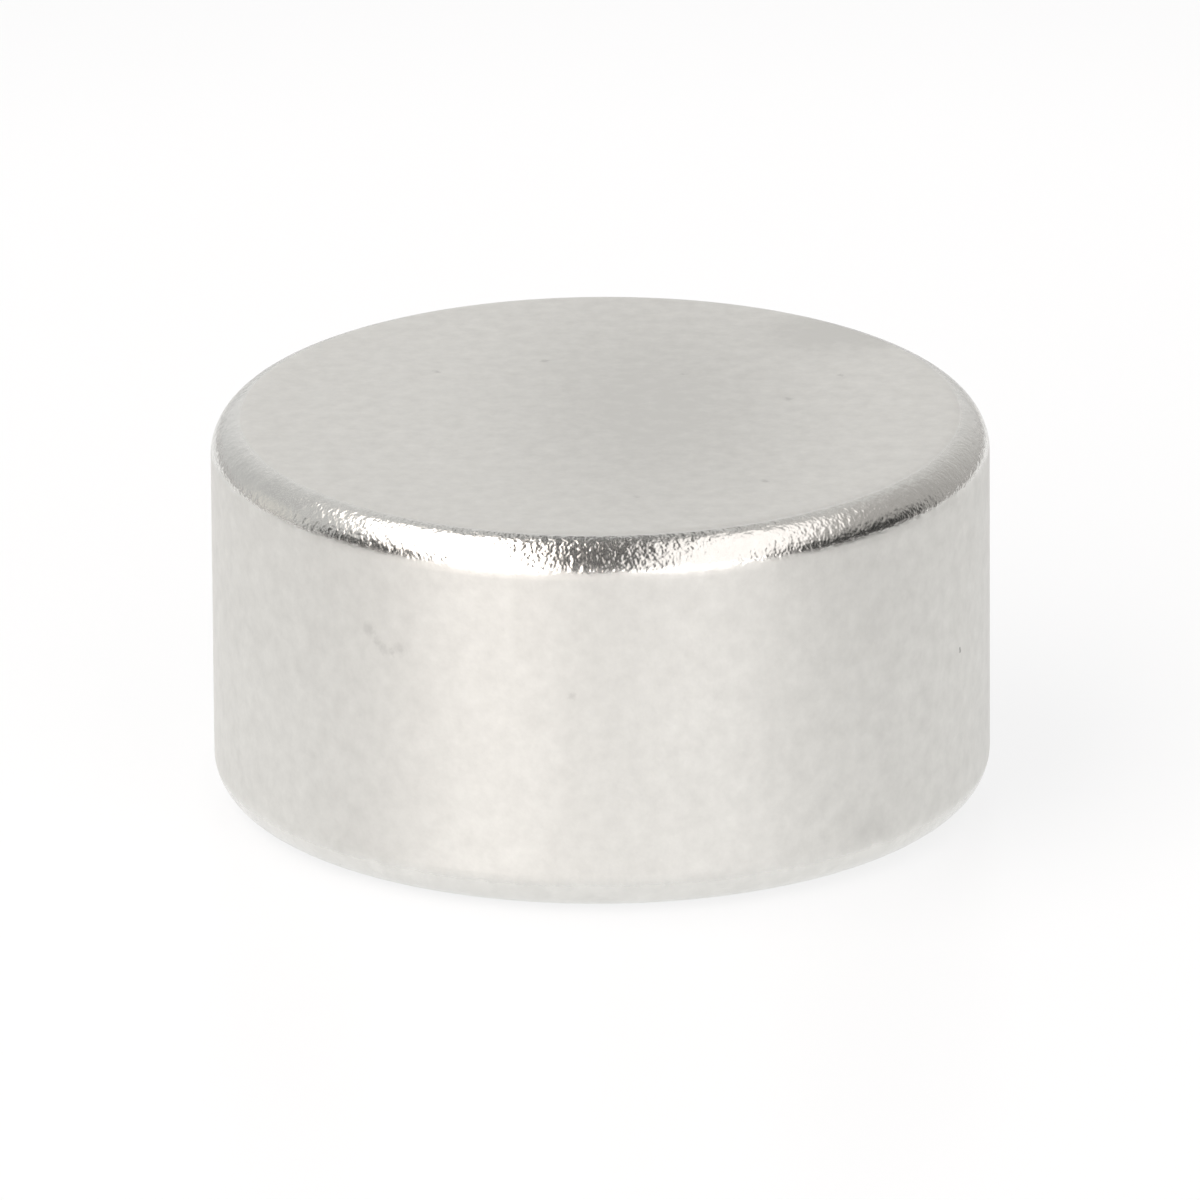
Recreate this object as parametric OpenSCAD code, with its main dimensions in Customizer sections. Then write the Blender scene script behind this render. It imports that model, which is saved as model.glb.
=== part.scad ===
// Disc magnet: one pressed, sintered and ground disc of magnet alloy,
// plated all over with nickel after its edges were tumbled round.
// The origin is the centre of the lower pole face, and +Z is the disc's axis.
// Millimetres.

/* [Disc] */
// Diameter over the plated wall
diameter = 20; // [6:0.5:60]
// Thickness from pole face to pole face
thickness = 10; // [4:0.5:30]

/* [Edges] */
// Radius of the rounding between the upper pole face and the wall
upper_edge_r = 1; // [0.2:0.1:1.8]
// Radius of the rounding between the lower pole face and the wall
lower_edge_r = 1; // [0.2:0.1:1.8]

/* [Quality] */
// Facets round the full disc
facets = 180; // [48:12:240]

/* [Hidden] */

wall_r = diameter / 2;
nickel = [0.80, 0.79, 0.77];

// Quarter of a circle, filling the corner where X and Y are positive.
module quarter_round(r) {
    intersection() {
        circle(r = r);
        square(r);
    }
}

// Half of the disc's cross-section: X is the distance from the axis and
// Y is the height. The pole faces run level to where each rounding starts,
// and the wall runs straight between the two roundings.
module half_section() {
    upper_centre = [wall_r - upper_edge_r, thickness - upper_edge_r];
    lower_centre = [wall_r - lower_edge_r, lower_edge_r];

    translate([0, lower_centre.y])
        square([wall_r, upper_centre.y - lower_centre.y]);

    square(lower_centre);
    translate(lower_centre)
        mirror([0, 1])
            quarter_round(lower_edge_r);

    translate([0, upper_centre.y])
        square([upper_centre.x, upper_edge_r]);
    translate(upper_centre)
        quarter_round(upper_edge_r);
}

// The whole magnet: the section turned once round the axis.
module magnet_disc() {
    color(nickel)
        rotate_extrude($fn = facets)
            half_section();
}

magnet_disc();
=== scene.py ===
import math

import bpy
import numpy as np
from mathutils import Matrix, Vector


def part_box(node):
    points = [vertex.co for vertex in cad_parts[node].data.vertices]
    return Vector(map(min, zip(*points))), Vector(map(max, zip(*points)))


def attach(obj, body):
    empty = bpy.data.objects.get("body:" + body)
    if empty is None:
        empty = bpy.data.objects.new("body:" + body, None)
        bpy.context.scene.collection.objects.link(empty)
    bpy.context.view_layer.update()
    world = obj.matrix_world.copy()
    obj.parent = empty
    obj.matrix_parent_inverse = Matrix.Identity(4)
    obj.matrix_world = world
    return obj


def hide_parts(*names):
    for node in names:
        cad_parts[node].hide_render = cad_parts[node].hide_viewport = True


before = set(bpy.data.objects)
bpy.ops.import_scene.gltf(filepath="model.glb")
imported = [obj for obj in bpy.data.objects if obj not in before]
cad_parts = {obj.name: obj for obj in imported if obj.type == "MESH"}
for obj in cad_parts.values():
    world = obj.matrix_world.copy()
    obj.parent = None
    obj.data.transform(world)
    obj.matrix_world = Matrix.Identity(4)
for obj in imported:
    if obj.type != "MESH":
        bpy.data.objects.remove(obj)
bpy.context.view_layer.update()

# The magnet: one disc pressed from rare-earth powder, sintered, ground flat on
# both poles and round on its wall. It was then tumbled, which rounds the edges
# and leaves them finely pebbled and bright, and plated all over with nickel.
low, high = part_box("magnet_disc")
disc_radius = (high.x - low.x) / 2
disc_height = high.z - low.z
edge_radius = 0.001

turns = 640
edge_steps = 14
wall_steps = 12
face_steps = 22

# Waviness that tumbling leaves on the rounded edges, as real relief: its height
# and its shortest and longest waves, in metres.
tumble_height = 0.0000007
tumble_wavelengths = (0.00035, 0.0008)
tumble_waves = 90
tumble_seed = 11

# The dull nickel is the mottling's dull end and also the colour that the painted reflection low on the
# wall darkens towards.
nickel_clean = (0.850, 0.841, 0.806, 1)
nickel_dull_and_dim_reflection = (0.670, 0.663, 0.634, 1)
pit_colour = (0.42, 0.41, 0.39, 1)
satin_roughness = 0.45
satin_spread = 0.10
bright_roughness = 0.20

# The pebbled grain, in metres. The satin faces and wall have only a share of its
# height. Mottling is the plating's cloudy change from clean to dull.
grain_size = 0.00008
grain_height = 0.0000085
swell_share = 1.5
satin_share = 0.18
mottle_size = 0.0005

# Where the polish of the rounding sets in and fades out, as shares of the quarter
# turn from a pole face to the wall, and how far the mottling moves its end.
bright_from = (0.13, 0.19)
bright_to = (0.78, 0.98)
bright_wander = 0.15


def half_profile():
    """The upper half of the section, from the middle of the wall to the axis.

    The wall is a straight line at the disc's radius, its rings closing up by a
    square law towards the rounding. The rounding is a quarter
    circle: radius minus edge plus edge times the sine of the tilt, and height
    minus edge plus edge times its cosine. The face is a level line inwards.
    Returns radius, height and the slope: the surface's tilt as a share of a
    quarter turn on the rounding, 0 on the face, and rising on past 1 down the
    wall by the distance from the rounding.
    """
    depth = (disc_height / 2 - edge_radius) * np.linspace(1, 0, wall_steps + 1)[:-1] ** 2
    tilt = np.linspace(np.pi / 2, 0, edge_steps + 1)
    face_r = np.linspace(disc_radius - edge_radius, 0, face_steps + 1)[1:-1]
    radius = np.concatenate([
        np.full(wall_steps, disc_radius),
        disc_radius - edge_radius + edge_radius * np.sin(tilt),
        face_r,
    ])
    height = np.concatenate([
        disc_height - edge_radius - depth,
        disc_height - edge_radius + edge_radius * np.cos(tilt),
        np.full(face_steps - 1, disc_height),
    ])
    slope = np.concatenate([
        1 + depth / (edge_radius * np.pi / 2),
        tilt / (np.pi / 2),
        np.zeros(face_steps - 1),
    ])
    return radius, height, slope


def tumbled(points, seed):
    """Adds up plane waves of random direction, length and phase at the points, to a spread of 1."""
    random = np.random.default_rng(seed)
    direction = random.normal(size=(tumble_waves, 3))
    direction /= np.linalg.norm(direction, axis=1, keepdims=True)
    length = random.uniform(*tumble_wavelengths, size=tumble_waves)
    phase = random.uniform(0, 2 * np.pi, size=tumble_waves)
    waves = np.sin(points @ (2 * np.pi * direction / length[:, None]).T + phase)
    return waves.sum(axis=1) * math.sqrt(2 / tumble_waves)


def disc_surface():
    """The section turned once round the axis, on a grid of section points by turns.

    A point is radius times (sine, minus cosine) of the turn, at the section's
    height. On a rounding it moves along the surface's own normal by the tumbled
    waves, faded out towards the flat faces and the wall by the squared sine of
    twice the tilt. One vertex on the axis closes each pole face.
    """
    radius, height, slope = half_profile()
    radius = np.concatenate([radius[:0:-1], radius])
    above = np.concatenate([-np.ones(len(height) - 1), np.ones(len(height))])
    height = np.concatenate([disc_height - height[:0:-1], height])
    slope = np.concatenate([slope[:0:-1], slope])
    rows = len(radius)

    turn = np.linspace(0, 2 * np.pi, turns, endpoint=False)
    outward = np.stack([np.sin(turn), -np.cos(turn), np.zeros(turns)], axis=1)
    tilt = np.minimum(slope, 1) * np.pi / 2
    normal = np.sin(tilt)[:, None, None] * outward
    normal[..., 2] = (above * np.cos(tilt))[:, None]
    points = radius[:, None, None] * outward
    points[..., 2] = height[:, None]
    relief = tumbled(points.reshape(-1, 3), tumble_seed).reshape(rows, turns)
    relief *= tumble_height * np.sin(2 * tilt)[:, None] ** 2
    points += normal * relief[..., None]

    bottom, top = rows * turns, rows * turns + 1
    points = np.concatenate([points.reshape(-1, 3), [[0, 0, 0], [0, 0, disc_height]]])
    slope = np.concatenate([np.repeat(slope, turns), [0, 0]])

    index = np.arange(rows * turns).reshape(rows, turns)
    after = np.roll(index, -1, axis=1)
    quads = np.stack([index[:-1], after[:-1], after[1:], index[1:]], axis=-1).reshape(-1, 4)
    lower_fan = np.stack([np.full(turns, bottom), after[0], index[0]], axis=-1)
    upper_fan = np.stack([np.full(turns, top), index[-1], after[-1]], axis=-1)
    faces = quads.tolist() + lower_fan.tolist() + upper_fan.tolist()
    return points, faces, slope


class Wire:
    """An output in a shader's node tree. Arithmetic adds Math nodes, and add() adds any other node."""

    def __init__(self, tree, socket=None):
        self.tree = tree
        self.socket = socket

    def add(self, kind, settings=None, inputs=None, output=0):
        """Adds a node of this kind, first its settings and then its sockets' values or links."""
        node = self.tree.nodes.new("ShaderNode" + kind)
        for name, value in (settings or {}).items():
            setattr(node, name, value)
        for name, value in (inputs or {}).items():
            if isinstance(value, Wire):
                self.tree.links.new(value.socket, node.inputs[name])
            else:
                node.inputs[name].default_value = value
        return Wire(self.tree, node.outputs[output] if node.outputs else None)

    def math(self, operation, first, second):
        return self.add("Math", {"operation": operation}, {0: first, 1: second})

    def __add__(self, other):
        return self.math("ADD", self, other)

    def __sub__(self, other):
        return self.math("SUBTRACT", self, other)

    def __mul__(self, other):
        return self.math("MULTIPLY", self, other)

    def __rsub__(self, other):
        return self.math("SUBTRACT", other, self)

    __radd__ = __add__
    __rmul__ = __mul__

    def most(self, other):
        return self.math("MAXIMUM", self, other)

    def step(self, start, end):
        """0 below start, 1 above end and a smooth rise between them; start may be above end."""
        return self.add(
            "MapRange",
            {"interpolation_type": "SMOOTHSTEP"},
            {"Value": self, "From Min": start, "From Max": end},
        )

    def blend(self, first, second):
        """The first colour where this is 0 and the second where it is 1."""
        return self.add("Mix", {"data_type": "RGBA"}, {0: self, 6: first, 7: second}, output=2)


def new_material(name):
    material = bpy.data.materials.new(name)
    material.use_nodes = True
    material.node_tree.nodes.clear()
    return material, Wire(material.node_tree)


# Small pits in the upper pole face, by X, Y and radius. Scuffs, one deep pit and
# a painted reflection, a faint darker patch low on the wall, by turn in degrees,
# height and radius. Two grey blooms on the face, by X and Y and three radii,
# where it has been handled.
face_pits = [
    (-0.00141, 0.00412, 0.00013),
    (-0.00420, 0.00331, 0.00012),
    (0.00215, 0.00303, 0.00010),
    (0.00484, 0.00102, 0.00015),
    (0.00619, 0.00286, 0.00011),
    (0.00419, -0.00529, 0.00014),
    (0.00093, -0.00644, 0.00013),
]
wall_scuffs = [
    (-36.2, 0.00706, 0.00023),
    (-34.7, 0.00677, 0.00016),
    (-33.6, 0.00664, 0.00020),
    (-32.2, 0.00661, 0.00015),
    (-30.9, 0.00672, 0.00023),
    (-4.4, 0.00592, 0.00014),
]
wall_pit = (66.4, 0.00492, 0.00010)
wall_reflection_patch = (43, 0.0013, (0.0010, 0.0010, 0.0007))
face_bloom = ((0.0014, 0.0005), (0.0062, 0.0130, 0.0004))
back_bloom = ((0.0062, 0.0062), (0.0030, 0.0026, 0.0004))

# How strongly each of these shows, and where a pit's or scuff's soft edge starts
# and ends, in radii. Their outlines are drawn ragged by a fine noise.
pit_depth = 0.42
scuff_depth = 0.30
face_bloom_depth = 0.50
back_bloom_depth = 0.60
# How strongly the painted reflection low on the wall shows.
reflection_patch_depth = 0.30
pit_rim = (1.2, 0.1)
scuff_rim = (1.2, 0.0)
deep_rim = (1.1, 0.4)
ragged_size = 0.00012
ragged_reach = 0.00022


def away(where, centre, radii):
    """Distance from a centre, counted in the radii along X, Y and Z."""
    offset = where.add("VectorMath", {"operation": "SUBTRACT"}, {0: where, 1: centre})
    share = where.add("VectorMath", {"operation": "DIVIDE"}, {0: offset, 1: radii})
    return where.add("VectorMath", {"operation": "LENGTH"}, {0: share}, output="Value")


def on_wall(turn, height):
    turn = math.radians(turn)
    return (disc_radius * math.sin(turn), -disc_radius * math.cos(turn), height)


def pebbles(where):
    """Height of the grain: fine round bumps on swells twice as wide."""
    bumps = where.add("TexNoise", {}, {"Vector": where, "Scale": 1 / grain_size, "Detail": 0.0})
    swells = where.add("TexNoise", {}, {"Vector": where, "Scale": 0.5 / grain_size, "Detail": 0.0})
    return bumps + swells * swell_share


def nickel_plate():
    material, start = new_material("nickel_plate")
    where = start.add("TexCoord", output="Object")
    slope = start.add("Attribute", {"attribute_name": "slope"}, output="Fac")
    mottle = start.add(
        "TexNoise",
        {},
        {"Vector": where, "Scale": 1 / mottle_size, "Detail": 4.0, "Roughness": 0.65},
    )
    ragged = slope + (mottle - 0.5) * bright_wander
    bright = slope.step(*bright_from) * (1 - ragged.step(*bright_to))

    drift = start.add(
        "TexNoise",
        {},
        {"Vector": where, "Scale": 1 / ragged_size, "Detail": 1.0},
        output="Color",
    )
    drift = start.add("VectorMath", {"operation": "SUBTRACT"}, {0: drift, 1: (0.5, 0.5, 0.5)})
    drift = start.add("VectorMath", {"operation": "SCALE"}, {0: drift, "Scale": ragged_reach})
    near = start.add("VectorMath", {"operation": "ADD"}, {0: where, 1: drift})
    pits = scuffs = 0.0
    for x, y, size in face_pits:
        pits = away(near, (x, y, disc_height), (size,) * 3).step(*pit_rim).most(pits)
    for turn, height, size in wall_scuffs:
        scuffs = away(near, on_wall(turn, height), (size,) * 3).step(*scuff_rim).most(scuffs)
    deep = away(near, on_wall(*wall_pit[:2]), (wall_pit[2],) * 3).step(*deep_rim)

    grain = pebbles(where)
    polish = slope.step(*bright_from) * (1 - slope.step(*bright_to))
    height = grain * (satin_share + polish * (1 - satin_share)) * grain_height
    bump = start.add("Bump", {}, {"Strength": 1.0, "Distance": 1.0, "Height": height})

    bloom = away(where, (*face_bloom[0], disc_height), face_bloom[1]).step(1, 0) * face_bloom_depth
    back = away(where, (*back_bloom[0], disc_height), back_bloom[1]).step(1, 0) * back_bloom_depth
    # Painted reflection: a faint darker patch low on the wall, pushed towards the dull nickel.
    reflection_patch = away(near, on_wall(*wall_reflection_patch[:2]), wall_reflection_patch[2]).step(1, 0) * reflection_patch_depth
    colour = (mottle + (bloom + back) + reflection_patch).blend(nickel_clean, nickel_dull_and_dim_reflection)
    marks = (pits * pit_depth).most(scuffs * scuff_depth).most(deep)
    colour = marks.blend(colour, pit_colour)

    roughness = satin_roughness + (mottle - 0.5) * satin_spread
    roughness = roughness * (1 - bright) + bright * bright_roughness
    shader = start.add(
        "BsdfPrincipled",
        {},
        {"Base Color": colour, "Metallic": 1.0, "Roughness": roughness, "Normal": bump},
    )
    start.add("OutputMaterial", {}, {"Surface": shader})
    return material


points, faces, slope = disc_surface()
mesh = bpy.data.meshes.new("magnet_plated")
mesh.from_pydata(points, [], faces)
mesh.attributes.new("slope", "FLOAT", "POINT").data.foreach_set("value", slope)
mesh.shade_smooth()
mesh.materials.append(nickel_plate())
magnet = bpy.data.objects.new("magnet_plated", mesh)
bpy.context.scene.collection.objects.link(magnet)
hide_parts("magnet_disc")
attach(magnet, "root")

# The floor: a round sheet of glossy white card on a wide grey table. The camera
# sees both as white and the metal sees the sheet as white, by the shares below,
# and the rest of the card is lit by the tent and keeps the magnet's shadow.
floor_half = 3.0
card_white = (0.88, 0.895, 0.91, 1)
card_gloss = 0.25
white_share = 0.76
mirrored_share = 0.85
sheet_edge = (0.05, 0.09)
table_grey = (0.4, 0.4, 0.4, 1)


def white_card():
    material, start = new_material("white_card")
    where = start.add("TexCoord", output="Object")
    beyond = away(where, (0, 0, 0), (1, 1, 1)).step(*sheet_edge)
    colour = beyond.blend(card_white, table_grey)
    card = start.add("BsdfPrincipled", {}, {"Base Color": colour, "Roughness": card_gloss})
    glow = start.add("Emission", {}, {"Color": (1, 1, 1, 1), "Strength": 1.0})
    direct = start.add("LightPath", output="Is Camera Ray")
    glossy = start.add("LightPath", output="Is Glossy Ray")
    through = start.add("LightPath", output="Is Transmission Ray")
    seen = direct * (white_share + beyond * (1 - white_share))
    share = seen + glossy.most(through) * mirrored_share * (1 - beyond)
    mixed = start.add("MixShader", {}, {0: share, 1: card, 2: glow})
    start.add("OutputMaterial", {}, {"Surface": mixed})
    return material


floor_mesh = bpy.data.meshes.new("floor")
floor_mesh.from_pydata(
    [
        (-floor_half, -floor_half, 0),
        (floor_half, -floor_half, 0),
        (floor_half, floor_half, 0),
        (-floor_half, floor_half, 0),
    ],
    [],
    [(0, 1, 2, 3)],
)
floor_mesh.materials.append(white_card())
floor = bpy.data.objects.new("floor", floor_mesh)
bpy.context.scene.collection.objects.link(floor)

# The light tent: a dome of cloth lit from outside. Two bright panels lean over the
# magnet from the front, left and right, with a dark gap between them. The rest is
# grey, with a dark flag low on each side and a cream card low on the left.
tent_radius = 1.0
tent_steps = (180, 45)

# The panels, in degrees: from where to where each reaches across, how far back
# both reach and how soft their edges are. Then their light, and how far up and
# how much the right one is brighter at its foot.
panel_lean = 46
left_panel = (15, 56)
right_panel = (12, 52)
panel_far_end = 56
panel_edge = 4
left_light = (3.60, 3.37, 3.24)
right_light = (1.41, 1.355, 1.34)
right_foot = (5, 5)
right_foot_gain = 3.8

# The grey parts: the back, the sides, the cap overhead and the gap between the
# panels, whose two levels are the lower and the upper part's. Each pair of
# degrees is the middle and half the width of a soft change.
back_turn = -172
back_level = 0.84
back_fades = (4, 10)
side_level = 0.54
side_fall = 0.08
right_warmth = (0, 0.03, 0.055)
cap_levels = (0.13, 0.60)
cap_across = (16, 16)
cap_from = (50, 5)
gap_levels = (0.20, 0.07)
gap_from = (20, 8)
# The flags and the card, in degrees: from turn, to turn and top edge.
right_flag = (56, 106, 21)
right_flag_level = 0.04
left_flag = (53, 88, 23)
left_flag_level = 0.07
flag_edge = 7
cream_card = (103, 120, 20)
cream = (0.80, 0.78, 0.745)


def smooth(value, middle, half):
    """0 well below middle, 1 well above, with a smooth rise from middle minus half to middle plus half."""
    share = np.clip((value - middle + half) / (2 * half), 0, 1)
    return share * share * (3 - 2 * share)


def between(value, low, high, half):
    return smooth(value, low, half) * smooth(-value, -high, half)


def blend(first, second, share):
    share = share[..., None]
    return first * (1 - share) + np.multiply(second, share)


def tent_light(direction):
    """The colour of the tent's cloth in each direction from the magnet.

    Compass turns are 0 towards the camera and positive to the right, and rise
    is the height over the horizon, in degrees. The panels are laid out about an
    axis that leans back: across is the angle about it, positive to the left,
    and along is the angle along it, positive to the back.
    """
    x, y, z = np.moveaxis(direction, -1, 0)
    lean = math.radians(panel_lean)
    turn = np.degrees(np.arctan2(x, -y))
    rise = np.degrees(np.arcsin(np.clip(z, -1, 1)))
    across = np.degrees(np.arctan2(-x, z * math.cos(lean) - y * math.sin(lean)))
    along = np.degrees(np.arcsin(np.clip(y * math.cos(lean) + z * math.sin(lean), -1, 1)))

    from_back = (turn - back_turn + 180) % 360 - 180
    fade = np.where(from_back > 0, back_fades[1], back_fades[0])
    backward = np.clip(np.cos(np.radians(from_back)), 0, 1) ** fade
    flank = side_level - side_fall * np.sin(np.radians(turn))
    paper = flank + (back_level - flank) * backward
    cap = cap_levels[0] + (cap_levels[1] - cap_levels[0]) * smooth(abs(across), *cap_across)
    grey = paper + (cap - paper) * smooth(rise, *cap_from)
    near = smooth(-along, -panel_far_end, panel_edge)
    gap = between(across, -right_panel[0], left_panel[0], panel_edge) * near
    gap_level = gap_levels[0] + (gap_levels[1] - gap_levels[0]) * smooth(rise, *gap_from)
    grey = grey + (gap_level - grey) * gap

    right = np.clip(np.sin(np.radians(turn)), 0, 1)
    light = grey[..., None] * (1 - right[..., None] * right_warmth)
    light = blend(light, left_light, between(across, *left_panel, panel_edge) * near)
    foot = 1 - smooth(rise, *right_foot)[..., None]
    graded = np.multiply(right_light, 1 + foot * (right_foot_gain - 1))
    light = blend(light, graded, between(-across, *right_panel, panel_edge) * near)
    for side, card, colour in (
        (-turn, cream_card, cream),
        (-turn, left_flag, left_flag_level),
        (turn, right_flag, right_flag_level),
    ):
        shape = between(side, card[0], card[1], flag_edge) * smooth(-rise, -card[2], flag_edge)
        light = blend(light, colour, shape)
    return light


def tent_cloth():
    material, start = new_material("tent_cloth")
    light = start.add("Attribute", {"attribute_name": "light"}, output="Color")
    glow = start.add("Emission", {}, {"Color": light, "Strength": 1.0})
    start.add("OutputMaterial", {}, {"Surface": glow})
    material.cycles.emission_sampling = "NONE"
    return material


turn, rise = np.meshgrid(
    np.linspace(0, 2 * np.pi, tent_steps[0], endpoint=False),
    np.linspace(0, np.pi / 2, tent_steps[1] + 1)[:-1],
    indexing="ij",
)
tent_dome = np.stack([np.cos(rise) * np.sin(turn), -np.cos(rise) * np.cos(turn), np.sin(rise)], axis=-1)
tent_points = np.concatenate([tent_dome.reshape(-1, 3), [[0, 0, 1]]])
index = np.arange(tent_dome[..., 0].size).reshape(turn.shape)
after = np.roll(index, -1, axis=0)
tent_quads = np.stack([index[:, :-1], index[:, 1:], after[:, 1:], after[:, :-1]], axis=-1).reshape(-1, 4)
tent_top = np.stack([index[:, -1], np.full(tent_steps[0], index.size), after[:, -1]], axis=-1)
tent_mesh = bpy.data.meshes.new("light_tent")
tent_mesh.from_pydata(tent_points * tent_radius, [], tent_quads.tolist() + tent_top.tolist())
tent_colours = np.concatenate([tent_light(tent_points), np.ones((len(tent_points), 1))], axis=1)
tent_mesh.attributes.new("light", "FLOAT_COLOR", "POINT").data.foreach_set("color", tent_colours.ravel())
tent_mesh.materials.append(tent_cloth())
tent = bpy.data.objects.new("light_tent", tent_mesh)
tent.visible_camera = False
bpy.context.scene.collection.objects.link(tent)

# The room: plain white wherever the camera looks past the floor, because the tent
# is hidden from it, and plain soft light from all round outside the tent.
room_level = 1.0
world = bpy.data.worlds.new("room")
world.use_nodes = True
world.node_tree.nodes.clear()
bpy.context.scene.world = world
room = Wire(world.node_tree)
backdrop = room.add("Background", {}, {"Color": (1, 1, 1, 1), "Strength": room_level})
room.add("OutputWorld", {}, {"Surface": backdrop})

# The camera: the photograph's view, from 60 radii away through a very long lens.
# It looks slightly down, a little off the magnet's middle, and is hardly rolled.
camera_height = math.radians(19.767)
distance_in_radii = 60
camera_distance = distance_in_radii * disc_radius
camera_roll = math.radians(-0.384)
pixels_per_radius = 388.60
photo_width = 1200
aim = Vector((-0.00003, 0, disc_height / 2 - 0.00009))

lens = bpy.data.cameras.new("camera")
lens.sensor_width = 36
lens.lens = pixels_per_radius * distance_in_radii / photo_width * lens.sensor_width
lens.clip_start = 0.01
lens.clip_end = 20
camera = bpy.data.objects.new("camera", lens)
bpy.context.scene.collection.objects.link(camera)
back = Vector((0, -math.cos(camera_height), math.sin(camera_height)))
camera.location = Vector((0, 0, disc_height / 2)) + back * camera_distance
look = (aim - camera.location).to_track_quat("-Z", "Y").to_matrix()
camera.rotation_euler = (look @ Matrix.Rotation(camera_roll, 3, "Z")).to_euler()
bpy.context.scene.camera = camera

bpy.context.scene.view_settings.view_transform = "Standard"
